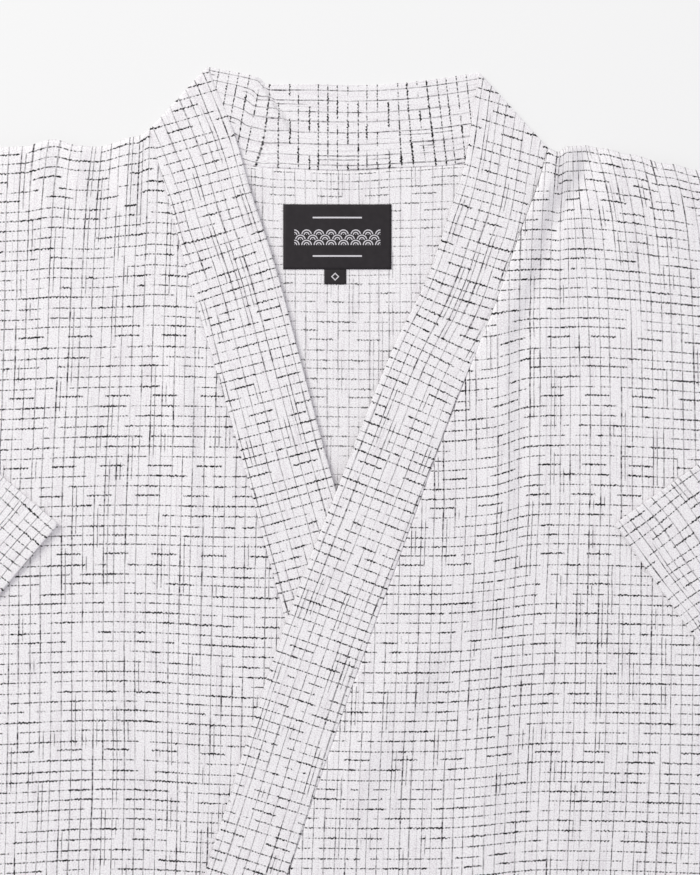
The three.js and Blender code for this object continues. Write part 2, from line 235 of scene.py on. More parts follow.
# %% [markdown]
# Light cotton that has been folded and pressed keeps soft creases. Each fold here is a crest between
# two listed ends, with its own width on either side: a wide side rolls away gently and a
# narrow side drops steeply. A negative height makes it a valley. Small uneven waves from Perlin
# noise fill the rest, because no pressed cloth is flat.

# %% Folds
# x and y of the upper end, then of the lower end, half width on the low-x and on the high-x side, height
LEFT_FOLDS = [
    (137, 2, 131, -34, 20, 9, 2.4),
    (131, -30, 121, -80, 20, 7, 3.0),
    (121, -76, 107, -124, 18, 7, 2.2),
    (147, 2, 152, -18, 8, 2.6, 2.0),
    (159, -3, 154, -30, 4, 9, -1.8),
    (154, -26, 132, -60, 9, 7, -1.9),
    (132, -58, 115, -120, 7, 8, -1.5),
    (176, -4, 184, -70, 9, 14, 1.5),
    (206, -12, 216, -95, 8, 12, 1.1),
    (104, -118, 106, -262, 15, 6, 2.2),
    (128, -120, 122, -262, 6, 18, 1.2),
    (58, -330, 30, -400, 18, 7, 1.5),
    (28, -350, 6, -440, 16, 8, 1.6),
    (96, -372, 90, -500, 12, 10, 1.3),
    (166, -150, 158, -330, 22, 16, 1.0),
    (150, -400, 144, -600, 20, 26, 1.4),
    (60, -520, 40, -700, 24, 18, 1.5),
    (230, -480, 222, -700, 18, 26, 1.6),
]
RIGHT_FOLDS = [
    (-176, 2, -166, -40, 7, 9, 1.8),
    (-196, 3, -192, -50, 9, 7, 1.3),
    (-143, 4, -138, -52, 8, 7, 1.4),
    (-104, -146, -92, -312, 12, 6, 1.9),
    (-84, -170, -78, -300, 8, 10, 1.0),
    (-150, -330, -142, -520, 16, 12, 1.3),
    (-180, -60, -172, -210, 20, 16, 0.9),
    (-100, -330, -92, -470, 12, 16, 1.0),
    (-215, -470, -206, -690, 20, 26, 1.7),
    (-268, -500, -262, -720, 14, 12, 1.2),
]
BACK_FOLDS = [
    (-8, -28, -4, -150, 16, 12, 0.5),
    (52, -20, 40, -120, 9, 12, 0.5),
]


def folds(table, x, y):
    """Height that the folds in a table add at a place."""
    height = 0
    for x0, y0, x1, y1, low_side, high_side, crest in table:
        dx, dy = x1 - x0, y1 - y0
        length = math.hypot(dx, dy)
        along = ((x - x0) * dx + (y - y0) * dy) / length**2
        if -0.3 < along < 1.3:
            away = ((y - y0) * dx - (x - x0) * dy) / length
            width = high_side if away > 0 else low_side
            fade = ramp(-0.25, 0.12, along) * ramp(1.25, 0.7, along)
            height += crest * fade * math.exp(-((away / width) ** 2))
    return height


def waves(x, y, seed, size=1.0):
    """Small uneven waves, at three scales."""
    broad = noise.noise(Vector((x / 62, y / 95, seed)))
    middle = noise.noise(Vector((x / 24, y / 34, seed + 7)))
    fine = noise.noise(Vector((x / 9, y / 12, seed + 19)))
    return size * (0.55 * broad + 0.24 * middle + 0.06 * fine)


print(len(LEFT_FOLDS) + len(RIGHT_FOLDS), "folds on the fronts")

# %% [markdown]
# One function makes every laid piece. It starts from a flat grid, writes each vertex's place in the
# cloth to a UV map called grain, then moves the vertex to its place on the table. The grain map holds
# metres along the weft and the warp, so the check keeps its real scale and follows the cloth round
# every fold. A Solidify modifier gives the wall, upwards from the underside.

# %% A laid piece of cloth
def cloth(name, plan, height, grain, columns, rows, wall=CLOTH, mirrored=False):
    """plan(u, v) gives x, y; height(x, y, u, v) gives z; grain(x, y, u, v) gives weft, warp."""
    mesh = bmesh.new()
    bmesh.ops.create_grid(mesh, x_segments=columns, y_segments=rows, size=0.5)
    layer = mesh.loops.layers.uv.new("grain")
    for vertex in mesh.verts:
        u, v = vertex.co.x + 0.5, 0.5 - vertex.co.y
        x, y = plan(u, v)
        weft, warp = grain(x, y, u, v)
        for loop in vertex.link_loops:
            loop[layer].uv = (weft * MM, warp * MM)
        vertex.co = place(x, y, height(x, y, u, v))
    if mirrored:
        bmesh.ops.reverse_faces(mesh, faces=mesh.faces)
    return finish_piece(name, mesh, wall)


def finish_piece(name, mesh, wall=None):
    """Makes an object of a bmesh, smooth, at the origin, with a wall if it is a single sheet."""
    for face in mesh.faces:
        face.smooth = True
    data = bpy.data.meshes.new(name)
    mesh.to_mesh(data)
    mesh.free()
    piece = bpy.data.objects.new(name, data)
    bpy.context.scene.collection.objects.link(piece)
    if wall:
        solidify = piece.modifiers.new("wall", "SOLIDIFY")
        solidify.thickness = wall * MM
        solidify.offset = 1
    print(name, len(data.polygons), "faces")
    return piece


def patch(top, bottom, left, right):
    """Fills the space inside four edges, each a function of 0..1; their corners meet."""

    def plan(u, v):
        sides = mix(left(v), right(v), u)
        ends = mix(top(u), bottom(u), v)
        corners = mix(mix(top(0), top(1), u), mix(bottom(0), bottom(1), u), v)
        return sides + ends - corners

    return plan


def crowd(t, power):
    """Draws grid lines together near 0, where cloth rolls over a fold."""
    return (math.exp(power * t) - 1) / (math.exp(power) - 1)


def both_ends(t):
    """Draws grid lines together near 0 and near 1."""
    return mix(t, 0.5 - 0.5 * math.cos(math.pi * t), 0.75)


def down(v):
    """Share of the way down a front or a band for a row of its grid: rows crowd near the neck."""
    return crowd(v, 1.4)


SEAM_REACH = 22    # how far from a seam the cloth starts to come level with it
SEAM_DITCH = 0.7   # depth of the ditch along the seam itself


def seam_dip(distance, seam_top, height):
    """Cloth near a seam: level with the piece that it is sewn to, with a fine ditch between them."""
    level = mix(height, seam_top - CLOTH - 0.2, ramp(SEAM_REACH, 2, distance))
    return level - SEAM_DITCH * ramp(1.6, 0.2, distance)


def roll(distance, radius, edge_height, height):
    """Height of cloth that rolls down to edge_height at a folded edge."""
    if distance >= radius:
        return height
    t = 1 - max(0, distance) / radius
    return mix(edge_height, height, math.sqrt(max(0, 1 - t * t)))


# %% [markdown]
# The back is one width of cloth from side to side. Only its inside shows, in the neck opening. Its
# warp runs down the body, and its weft follows the bow of the collar seam a little.

# %% Back panel
def back_plan(u, v):
    x = mix(-HALF_BODY, HALF_BODY, u)
    return x, mix(level_at(top_edge, x), HEM_Y, crowd(v, 1.2))


def back_height(x, y, u, v):
    laid = lift(x, y) + max(0, waves(x, y, 3, 0.5) + 0.1) * 0.7 + folds(BACK_FOLDS, x, y)
    return max(0, seam_dip(level_at(top_edge, x) - y, COLLAR_LOW + BAND_WALL, laid))


def body_grain(lean, sag):
    """Grain of a body panel; lean and sag say how far its warp and its weft are pulled at a place."""

    def grain(x, y, u, v):
        depth = max(0, level_at(top_edge, x) - y)
        shoulder = level_at(top_edge, x) * math.exp(-depth / 55)
        wander = noise.noise(Vector((x / 90, y / 160, 5))) * 2.2
        bow = noise.noise(Vector((x / 110, y / 140, 11))) * 1.6
        return x + lean(x, y) + wander, y - shoulder + sag(x, y) + bow

    return grain


back = cloth("back_cotton", back_plan, back_height, body_grain(nothing, nothing), columns=150, rows=170)

# %% [markdown]
# The fronts fill the space between their band's seam and the side. At the shoulder and the side the
# cloth folds round to the back, so the last millimetres roll down. On the left front the warp fans
# out from a tuck beside the collar, where a little extra cloth was gathered in by the laying out.
#
# First come the pulls: how far the cloth is drawn aside from its straight grain, from soft steps.

# %% Pulls in the grain of the fronts
def left_lean(x, y):
    depth = max(0, below_shoulder(x, y))
    fan = mix(-8, 13, ramp(140, 160, x)) * ramp(300, 225, x) * math.exp(-depth / 45)
    long_fan = 5 * ramp(120, 150, x) * math.exp(-depth / 160) * ramp(300, 200, x)
    return fan + long_fan + 0.038 * max(0, depth - 230)


def left_sag(x, y):
    pulled = 4.5 * ramp(122, 96, x) * ramp(-90, -140, y) * ramp(-340, -200, y)
    return 5.5 * ramp(141, 60, x) * ramp(-60, -200, y) + 3.0 * ramp(150, 270, x) + pulled


def right_lean(x, y):
    return -7 * math.exp(-((x + 175) / 34) ** 2) * math.exp(-below_shoulder(x, y) / 60) - 0.02 * y


def right_sag(x, y):
    return 3.2 * ramp(-145, -50, x) * ramp(-150, -350, y) + 2.0 * ramp(-145, -240, x)


print("the warp leans", round(left_lean(160, -40), 1), "mm beside the tuck")

# %% [markdown]
# Then the fronts themselves. Their plan is a patch between four edges, and their height adds up the
# layers beneath, the air, the folds, the ditch at the seam and the roll at each folded edge.

# %% Fronts
EDGE_ROLL = 4       # how far in from a folded edge the cloth rolls down
SEAM_SLANT = 0.94   # distance square to the slanted seam, for each step straight across


def front_low(x, y, climb):
    """Underside of a front, before its folds and waves."""
    return FRONT_LOW + lift(x, y) + looseness(x, y) + climb(x, y)


def front(name, seam_line, shoulder, side, table, climb, seed, lean, sag):
    """side is 1 on the wearer's left; climb, lean and sag are functions of the place."""
    shoulder_x = shoulder[0][0] if side > 0 else shoulder[-1][0]
    side_y = level_at(shoulder, side * HALF_BODY)

    def top(u):
        x = mix(shoulder_x + side * 0.1, side * HALF_BODY, u)
        return Vector((x, level_at(shoulder, x)))

    def seam_side(v):
        return seam_line(down(v)) + Vector((side * 0.1, 0))

    def outer(v):
        return Vector((side * HALF_BODY, mix(side_y, HEM_Y, down(v))))

    def hem(u):
        return Vector((mix(seam_side(1).x, side * HALF_BODY, u), HEM_Y))

    fill = patch(top, hem, seam_side, outer)

    def plan(u, v):
        return fill(both_ends(u), v)

    def height(x, y, u, v):
        free = ramp(0, 12, below_shoulder(x, y)) * ramp(HALF_BODY, HALF_BODY - 14, abs(x))
        from_seam = abs(x - seam_line(down(v)).x) * SEAM_SLANT
        band_top = BAND_LOW + BAND_SWAY + BAND_WALL + lift(x, y) + climb(x, y)
        flat = front_low(x, y, climb) + (waves(x, y, seed) + 0.5) * free
        flat = seam_dip(from_seam, band_top, flat)
        flat += folds(table, x, y) * mix(0.85, 1, ramp(0, 6, from_seam))
        edge = lift(x, y) + CLOTH + 0.3
        flat = roll(HALF_BODY - abs(x), EDGE_ROLL, edge, flat)
        return roll(below_shoulder(x, y), EDGE_ROLL, edge, flat)

    grain = body_grain(lean, sag)
    return cloth(name, plan, height, grain, columns=110, rows=190, mirrored=side < 0)


RIGHT_WAVES, LEFT_WAVES = 21, 33   # seeds of the small waves
right_front = front(
    "right_front_cotton", under_seam, RIGHT_SHOULDER, side=-1, table=RIGHT_FOLDS,
    climb=nothing, seed=RIGHT_WAVES, lean=right_lean, sag=right_sag,
)
left_front = front(
    "left_front_cotton", over_seam, LEFT_SHOULDER, side=1, table=LEFT_FOLDS,
    climb=rise, seed=LEFT_WAVES, lean=left_lean, sag=left_sag,
)

# %% [markdown]
# The collar is one long strip folded in half along its length, so it is thicker than the body and its
# free edge is a round fold. It lies flat behind the neck, turns over at each shoulder and runs down
# the fronts. Its warp runs along the strip. A Bevel modifier rounds the edges of the wall.

# %% Collar behind the neck
def rounded(piece, radius):
    """Rounds the sharp edges of a finished piece."""
    bevel = piece.modifiers.new("edge", "BEVEL")
    bevel.width = radius * MM
    bevel.segments = 3
    bevel.limit_method = "ANGLE"
    bevel.angle_limit = math.radians(50)
    return piece


CREASE_STEP = 1.9   # the turned-over stretch lies this much higher
SHEET_WIDTH = 54    # width of the collar in its own grain


def collar_plan(u, v):
    seam = neck_line(u) + Vector((0, 0.1))
    return mix(collar_line(u), seam, v)


def past_crease(x, y):
    """1 where the collar is turned over, outside the slanted crease near its right end."""
    crease = -35 - (y - 12) * 0.62
    return ramp(crease, crease - 1.5, x) * ramp(2, 20, y)


def collar_height(x, y, u, v):
    ditch = past_crease(x - 1.5, y) - past_crease(x, y)
    laid = COLLAR_LOW + waves(x, y, 41, 0.6) - 0.7 * ditch
    return CREASE_STEP * past_crease(x, y) + max(0, laid)


def collar_grain(x, y, u, v):
    from_edge = collar_line(u).y - y
    slope = mix(-0.2, 0, ramp(-62, -40, x)) + 0.12 * ramp(20, 60, x)
    return v * SHEET_WIDTH + 1.6 * past_crease(x, y), x - slope * from_edge


neck_line = smooth_line(NECK_SEAM)
collar_line = smooth_line(COLLAR_EDGE)
collar = cloth(
    "collar_cotton", collar_plan, collar_height, collar_grain, columns=130, rows=26, wall=BAND_WALL
)
rounded(collar, 0.5)

# %% [markdown]
# Down each front the strip is called the band here. It lies between two lines, its free edge and its
# seam, so a grid between them needs no more than a mix of the two.

# %% Bands
FOLD_RADIUS = 1.6      # at the shoulder the strip turns over in a round fold
FOLD_LOW = 2.2         # underside of the band at that fold
TURNED = 0.09          # this share of the band, from the fold down, keeps one heading of its grain


def band(name, free_line, seam_line, climb, seed, mirrored):
    """The stretch of the collar that runs down one front."""

    def plan(u, v):
        return mix(free_line(down(v)), seam_line(down(v)), u)

    def height(x, y, u, v):
        ends = free_line(0), seam_line(0)
        across = ends[1] - ends[0]
        from_fold = abs((x - ends[0].x) * across.y - (y - ends[0].y) * across.x) / across.length
        laid = BAND_LOW + lift(x, y) + climb(x, y) + BAND_SWAY * (1 + waves(x, y, seed))
        return roll(from_fold, FOLD_RADIUS, FOLD_LOW, laid)

    def grain(x, y, u, v):
        t = down(v)
        straight = max(t, TURNED)
        heading = (free_line(min(1, straight + 0.02)) - free_line(straight - 0.02)).normalized()
        offset = Vector((x, y)) - free_line(t)
        return abs(offset.cross(heading)), -t * free_line.length - offset.dot(heading)

    strip = cloth(
        name, plan, height, grain, columns=14, rows=240, wall=BAND_WALL, mirrored=mirrored
    )
    return rounded(strip, 0.5)


right_band = band("right_band_cotton", under_free, under_seam, nothing, seed=51, mirrored=True)
left_band = band("left_band_cotton", over_free, over_seam, rise, seed=57, mirrored=False)

# %% [markdown]
# Each sleeve is tucked behind the body, rolls over a crease beside it and comes back over the front
# as a flap. Its cut is easiest to see in a section square to the crease: a slab under the body, a half
# circle, and the flap. A grid with one column for each point of that closed section, and a row for each
# station along the crease, makes the body of it. The flap's cuff is two layers, so the section has a
# slot there, as deep as the hem is turned in.
#
# Places on the sleeve are measured from the crease's upper end: t runs down along the crease, and n
# runs inwards from it, square to it.

# %% Section of a folded sleeve
SLEEVE_WALL = 2.2
ROLL = 4.7                # radius of the roll beside the body
SHOULDER_ROLL = 2.9       # its radius at the shoulder
TUCKED_X = 236            # how near the middle of the body the tucked part reaches
CUFF_SLOT = 6             # how deep the hem is turned in
SIDE_STATIONS = 150       # rows along the crease
TUCK_STEPS = 12           # columns along the underside
ROLL_STEPS = 12           # columns round the roll
FLAP_STEPS = 39           # columns along the top of the flap
UNDERFLAP_STEPS = 19      # columns along its underside
INNER_STEPS = 9           # columns along the top of the tucked part


def section_points(tucked, fold, radius, reach, lower, slot, under):
    """One closed section as n and height, from the tucked end round to it again.

    fold is n where the roll starts, reach and lower are n of the cuff's two layers, and under(n) is
    the height of the flap's underside.
    """
    points = [(mix(tucked, fold, k / (TUCK_STEPS - 1)), 0) for k in range(TUCK_STEPS)]
    for k in range(1, ROLL_STEPS + 1):
        turn = math.pi * k / ROLL_STEPS
        points.append((fold - radius * math.sin(turn), radius - radius * math.cos(turn)))
    for k in range(1, FLAP_STEPS + 1):
        n = mix(fold, reach - 0.5, k / FLAP_STEPS)
        points.append((n, under(n) + SLEEVE_WALL))

    # The upper layer's edge, rounded, then the slot, then the lower layer's edge.
    end = under(reach)
    points.append((reach - 0.15, end + SLEEVE_WALL - 0.1))
    points.append((reach, end + SLEEVE_WALL - 0.4))
    points.append((reach, end + SLEEVE_WALL * 0.62))
    points.append((reach - slot, end + SLEEVE_WALL * 0.52))
    points.append((reach - slot, end + SLEEVE_WALL * 0.48))
    points.append((lower, end + SLEEVE_WALL * 0.4))
    points.append((lower, end + 0.25))

    for k in range(1, UNDERFLAP_STEPS + 1):
        n = mix(lower - 0.3, fold, k / UNDERFLAP_STEPS)
        points.append((n, under(min(n, reach))))
    inner_radius = max(radius - SLEEVE_WALL, 0.3)
    for k in range(1, ROLL_STEPS + 1):
        turn = math.pi * (1 - k / ROLL_STEPS)
        out = fold - inner_radius * math.sin(turn)
        points.append((out, radius - (radius - SLEEVE_WALL) * math.cos(turn)))
    for k in range(1, INNER_STEPS + 1):
        points.append((mix(fold, tucked, k / INNER_STEPS), SLEEVE_WALL))
    return points


print("sleeve wall", SLEEVE_WALL, "mm, roll", ROLL * 2, "mm across")

# %% [markdown]
# A sleeve is placed by the corner of its cuff, which lies on the body, and by how steeply its upper
# edge climbs outwards. Its crease joins the far ends of the two edges that meet at that corner. Above
# the crease's upper end the sleeve tapers into the shoulder.

# %% Sleeves
def sleeve(name, side, corner, climb, upper_edge, cuff_edge, shoulder_y, body_top, peep, cut_from):
    """side is 1 on the wearer's left; peep is how far the cuff's lower layer shows past the upper."""
    angle = math.radians(climb)
    corner = Vector(corner)
    up_the_sleeve = Vector((side * math.cos(angle), math.sin(angle)))
    down_the_cuff = Vector((side * math.sin(angle), -math.cos(angle)))
    crease_top = corner + up_the_sleeve * upper_edge
    crease_foot = corner + down_the_cuff * cuff_edge
    along = (crease_foot - crease_top).normalized()
    inward = Vector((side * along.y, -side * along.x))
    shoulder = Vector((side * HALF_BODY, shoulder_y)) - crease_top
    first = shoulder.dot(along) * 0.88
    last = (crease_foot - crease_top).dot(along)
    corner_t = (corner - crease_top).dot(along)
    corner_n = (corner - crease_top).dot(inward)

    def station(row):
        """Origin on the crease, and the section there."""
        t = mix(first, last, row / SIDE_STATIONS)
        edge = shoulder.dot(inward) * max(0, t / shoulder.dot(along)) if t < 0 else 0
        radius = mix(ROLL, SHOULDER_ROLL, max(0, t / first) if t < 0 else 0)
        flap = corner_n * (t / corner_t if t < corner_t else (last - t) / (last - corner_t))
        reach = max(flap, edge + radius + 3)
        origin = crease_top + along * t
        tucked = (abs(origin.x) - TUCKED_X) / abs(inward.x)
        cuff = ramp(corner_t - 4, corner_t + 4, t)
        shown = mix(0.4, peep, ramp(corner_t + 22, corner_t + 70, t)) * ramp(last, last - 30, t)

        def under(n):
            spot = origin + inward * n
            on_body = body_top(spot.x, spot.y) + 0.5 if abs(spot.x) < HALF_BODY else 0
            wave = 0.5 * (1 + noise.noise(Vector((spot.x / 30, spot.y / 40, 3))))
            return max(on_body, radius * 2 - SLEEVE_WALL) + wave

        lower = reach + shown * cuff
        return origin, section_points(tucked, edge + radius, radius, reach, lower, CUFF_SLOT * cuff, under)

    stations = [station(row) for row in range(SIDE_STATIONS + 1)]
    count = len(stations[0][1])
    mesh = bmesh.new()
    bmesh.ops.create_grid(mesh, x_segments=count, y_segments=SIDE_STATIONS, size=0.5)
    layer = mesh.loops.layers.uv.new("grain")
    for vertex in mesh.verts:
        column = round((vertex.co.x + 0.5) * count)
        origin, points = stations[round((0.5 - vertex.co.y) * SIDE_STATIONS)]
        n, z = points[column % count]
        spot = origin + inward * n
        # Past the middle of the roll the cloth is the flap; before it, it is unrolled outwards.
        on_flap = column > TUCK_STEPS + ROLL_STEPS // 2
        offset = (spot if on_flap else origin - inward * n) - corner + Vector(cut_from)
        weft_wander = noise.noise(Vector((*spot, 0)) / 40)
        warp_wander = noise.noise(Vector((*spot, 90)) / 40)
        offset += Vector((weft_wander, warp_wander)) * 2.4
        for loop in vertex.link_loops:
            loop[layer].uv = (offset.dot(up_the_sleeve) * MM, offset.dot(down_the_cuff) * -MM)
        vertex.co = place(spot.x, spot.y, z)
    bmesh.ops.remove_doubles(mesh, verts=mesh.verts, dist=1e-6)
    bmesh.ops.holes_fill(mesh, edges=[edge for edge in mesh.edges if edge.is_boundary])
    bmesh.ops.triangulate(mesh, faces=[face for face in mesh.faces if len(face.verts) > 4])
    bmesh.ops.recalc_face_normals(mesh, faces=mesh.faces)
    return finish_piece(name, mesh)


def front_top(x, y, table, climb, seed):
    """Top of a front, away from its edges."""
    return front_low(x, y, climb) + folds(table, x, y) + waves(x, y, seed) + 0.5 + CLOTH


def left_top(x, y):
    return front_top(x, y, LEFT_FOLDS, rise, LEFT_WAVES)


def right_top(x, y):
    return front_top(x, y, RIGHT_FOLDS, nothing, RIGHT_WAVES)


left_sleeve = sleeve(
    "left_sleeve_cotton", 1, corner=(176, -246), climb=35.5, upper_edge=225, cuff_edge=230,
    shoulder_y=-27, body_top=left_top, peep=0.5, cut_from=(0, 0),
)
right_sleeve = sleeve(
    "right_sleeve_cotton", -1, corner=(-184.5, -246), climb=40.3, upper_edge=225, cuff_edge=195,
    shoulder_y=-8, body_top=right_top, peep=5, cut_from=(90, 60),
)

# %% [markdown]
# The neck label is a small piece of black satin weave with a smaller tab caught under its lower edge.
# Both lie on the inside of the back, so their height is the back's with its cloth added.

# %% Label and tab
def rectangle(x0, y0, x1, y1):
    def plan(u, v):
        return mix(x0, x1, u), mix(y1, y0, v)

    return plan


def sewn_inside(name, x0, y0, x1, y1, columns, rows, wall):
    """A flat rectangle on the inside of the back, with its grain centred on it."""

    def height(x, y, u, v):
        return back_height(x, y, u, v) + CLOTH + 0.15

    def grain(x, y, u, v):
        return x - (x0 + x1) / 2, y - (y0 + y1) / 2

    return cloth(name, rectangle(x0, y0, x1, y1), height, grain, columns, rows, wall)


label = sewn_inside("label_satin", -39, -80.5, 31.5, -38.2, columns=36, rows=22, wall=0.45)
tab = sewn_inside("size_tab_satin", -12.3, -90.2, 2, -80.4, columns=10, rows=8, wall=0.4)

# %% [markdown]
# Two flat ties close the jacket. One is sewn under the edge of the left band, the other at the right
# side. They lie loose on the right front with their ends free.

# %% Ties
TIE_WIDTH = 18
TIE_GAP = 0.35   # between a tie and the front that it lies on


def tie(name, middle):
    """A tie whose middle runs through a few points, x and y."""
    line = smooth_line(middle)

    def plan(u, v):
        heading = (line(min(1, v + 0.01)) - line(max(0, v - 0.01))).normalized()
        return line(v) + Vector((-heading.y, heading.x)) * (u - 0.5) * TIE_WIDTH

    def height(x, y, u, v):
        return right_top(x, y) + TIE_GAP

    def grain(x, y, u, v):
        return u * TIE_WIDTH, -v * line.length

    strip = cloth(name, plan, height, grain, columns=8, rows=90, wall=0.9, mirrored=True)
    return rounded(strip, 0.3)


front_tie = tie("front_tie_cotton", [(-92, -508), (-130, -520), (-165, -575), (-176, -715)])
side_tie = tie("side_tie_cotton", [(-298, -508), (-262, -520), (-232, -575), (-226, -700)])

# %% [markdown]
# The shorts lie below the hem: a front and a back for each leg. Under the waistband the cloth is
# gathered on elastic, so it ripples there and the ripples die away down the leg.

# %% Shorts
WAIST_DEPTH = 38
HALF_GAP = 0.15   # from the middle to the nearest cloth of either leg

# How far below the waist's top edge, then the distances of the leg's inner and outer edges from the middle.
LEG = [
    (38, HALF_GAP, 190),
    (90, HALF_GAP, 222),
    (180, HALF_GAP, 252),
    (285, HALF_GAP, 272),
    (300, 5, 275),
    (330, 14, 280),
    (430, 24, 290),
    (550, 30, 298),
]
leg_inner = smooth_line([(row[1], row[0]) for row in LEG])
leg_outer = smooth_line([(row[2], row[0]) for row in LEG])


def leg(name, side, base, slack, loose, seed):
    """One leg panel; slack is the air in it, and loose scales what isn't pressed flat by another."""

    def plan(u, v):
        spot = mix(leg_inner(v), leg_outer(v), u)
        return side * max(HALF_GAP, spot.x), SHORTS_TOP - spot.y - 0.3

    def height(x, y, u, v):
        below_waist = SHORTS_TOP - WAIST_DEPTH - y
        ripple = 0.5 + 0.5 * math.sin(x / 5.2 + 1.3 * math.sin(x / 17))
        gathers = 1.2 * ripple * math.exp(-below_waist / 55)
        air = slack * ramp(0, 60, below_waist) * ramp(0, 0.12, u) * ramp(1, 0.88, u)
        return base + (air + gathers + 0.5 + waves(x, y, seed)) * loose

    def grain(x, y, u, v):
        return x, y

    return cloth(name, plan, height, grain, columns=60, rows=110, mirrored=side < 0)


shorts_back_left = leg("shorts_back_left_cotton", 1, base=0.2, slack=0, loose=0.3, seed=71)
shorts_back_right = leg("shorts_back_right_cotton", -1, base=0.2, slack=0, loose=0.3, seed=73)
shorts_front_left = leg("shorts_front_left_cotton", 1, base=1.7, slack=1.2, loose=1, seed=75)
shorts_front_right = leg("shorts_front_right_cotton", -1, base=1.7, slack=1.2, loose=1, seed=77)

# %% [markdown]
# The waistband is a casing round the elastic. It puckers in even ribs, which rows of stitching hold
# flatter. The check lies closer together there, because gathered cloth is wider than it lies.

# %% Waistband
HALF_WAIST = 190
PUCKERS = 26     # in the whole width
GATHER = 1.5     # how many times closer the check lies in the gathered band


def waistband(name, base):
    """One stretch of the waistband, front or back."""

    def height(x, y, u, v):
        turns = x / HALF_WAIST * math.pi * PUCKERS
        ripple = 0.5 - 0.5 * math.cos(turns + 1.5 * math.sin(x / 23))
        return base + 1.1 * ripple * (0.6 + 0.4 * abs(math.sin(v * math.pi * 3)))

    def grain(x, y, u, v):
        return x * GATHER, y

    plan = rectangle(-HALF_WAIST, SHORTS_TOP - WAIST_DEPTH, HALF_WAIST, SHORTS_TOP)
    return rounded(cloth(name, plan, height, grain, columns=190, rows=18, wall=1.3), 0.5)


back_waist = waistband("waistband_back_cotton", base=0)
front_waist = waistband("waistband_front_cotton", base=2.5)

# %% [markdown]
# Now the finishes. Colours are written as sRGB hex, as a paint chart gives them, and turned into the
# linear values that a shader works in. One helper adds a node, sets it up and links it.

# %% Colours and nodes
def linear(hex_colour):
    channels = [int(hex_colour[k:k + 2], 16) / 255 for k in (1, 3, 5)]
    return [c / 12.92 if c <= 0.04045 else ((c + 0.055) / 1.055) ** 2.4 for c in channels] + [1]


def node(tree, kind, inputs=(), **settings):
    """Adds a node. inputs is a list, or a dictionary by name or number; a socket is linked."""
    made = tree.nodes.new("ShaderNode" + kind)
    for name, value in settings.items():
        setattr(made, name, value)
    for key, value in dict(inputs if isinstance(inputs, dict) else enumerate(inputs)).items():
        if isinstance(value, bpy.types.Node):
            value = value.outputs[0]
        if isinstance(value, bpy.types.NodeSocket):
            tree.links.new(value, made.inputs[key])
        else:
            made.inputs[key].default_value = value
    return made


# The Mix node keeps a pair of sockets for each kind of value. These are their numbers.
SHARE, FLOAT_A, FLOAT_B, COLOUR_A, COLOUR_B = 0, 2, 3, 6, 7
COLOUR_OUT = 2


def new_material(name):
    """A material, its node tree and its shader."""
    material = bpy.data.materials.new(name)
    material.use_nodes = True
    tree = material.node_tree
    return material, tree, tree.nodes["Principled BSDF"]


def grain_in_mm(tree):
    """The place in the cloth's grain map, then how far that is along the weft and along the warp."""
    grain = node(tree, "UVMap", uv_map="grain")
    in_mm = node(tree, "VectorMath", {0: grain, "Scale": 1 / MM}, operation="SCALE")
    axes = node(tree, "SeparateXYZ", [in_mm])
    return in_mm, axes.outputs[0], axes.outputs[1]


print("white", linear("#FFFFFF"))

# %% [markdown]
# Kasuri cotton. The cloth is plain weave from white yarn with a dark yarn every few millimetres each
# way. The dark yarns were tied and dyed before weaving, so each one is black, then grey, then white
# along its length, at places of its own. Across the cloth the weft yarn shows as a thin flecked line
# that swells into jagged slubs. Down the cloth the warp yarn shows as a softer grey line, at times a
# pair.
#
# For each direction the pattern needs a random number for the nearest yarn, the distance to it, and
# noise that runs along it and differs from yarn to yarn. The yarn's own number comes from a Floor, and
# feeding it into the second coordinate of a Noise texture gives each yarn its own run.

# %% Yarns one way of the cloth
WEFT_PITCH = 6.4
WARP_PITCH = 6.9
UNEVEN = 0.17     # share of the pitch by which a yarn may lie off its place, from side to side


def yarns(tree, across, along, pitch, seed):
    """Random number of the nearest yarn, distance from its middle in mm, and noise along it."""
    share = node(tree, "Math", [across, pitch], operation="DIVIDE")
    number = node(tree, "Math", [share], operation="FLOOR")
    own = node(tree, "Math", [number, seed], operation="ADD")
    random = node(tree, "TexWhiteNoise", {"W": own}, noise_dimensions="1D")
    inside = node(tree, "Math", [share], operation="FRACT")
    middle = node(tree, "Math", [random, UNEVEN, -0.5 - UNEVEN / 2], operation="MULTIPLY_ADD")
    off = node(tree, "Math", [inside, middle], operation="ADD")
    offset = node(tree, "Math", [off, pitch], operation="MULTIPLY")
    row = node(tree, "Math", [number, 7.31], operation="MULTIPLY")

    def run(length, salt, detail=1.0):
        """Noise whose patches are about length mm long; another salt gives other patches."""
        column = node(tree, "Math", [along, length], operation="DIVIDE")
        spot = node(tree, "CombineXYZ", [column, row, salt])
        return node(tree, "TexNoise", {"Vector": spot, "Scale": 1.0, "Detail": detail, "Roughness": 0.6})

    return random, offset, run


def drawn_line(tree, distance, half, soft):
    """1 on a line, 0 off it, with a soft edge; half is half its width and may be a socket."""
    near = node(tree, "Math", [distance], operation="ABSOLUTE")
    past = node(tree, "Math", [near, half], operation="SUBTRACT")
    return node(tree, "MapRange", [past, soft, -soft], interpolation_type="SMOOTHSTEP")


print("weft yarns every", WEFT_PITCH, "mm, warp yarns every", WARP_PITCH, "mm")

# %% [markdown]
# The weft. On about one line in eight the dye comes in even dashes. On the rest the line runs on, with
# slubs and small gaps. A slub is yarn that was spun thick, and its beads are where warp threads cross
# it, so the line sways and swells at each bead. Uneven specks break it up.

# %% Weft lines
DASH_PITCH = 31
DASHED_SHARE = 0.13
BEAD_PITCH = 2.1
BEAD_SWAY = 0.13
JAG_SIZE = (1.2, 9)   # a jag's length along the weft and along the warp


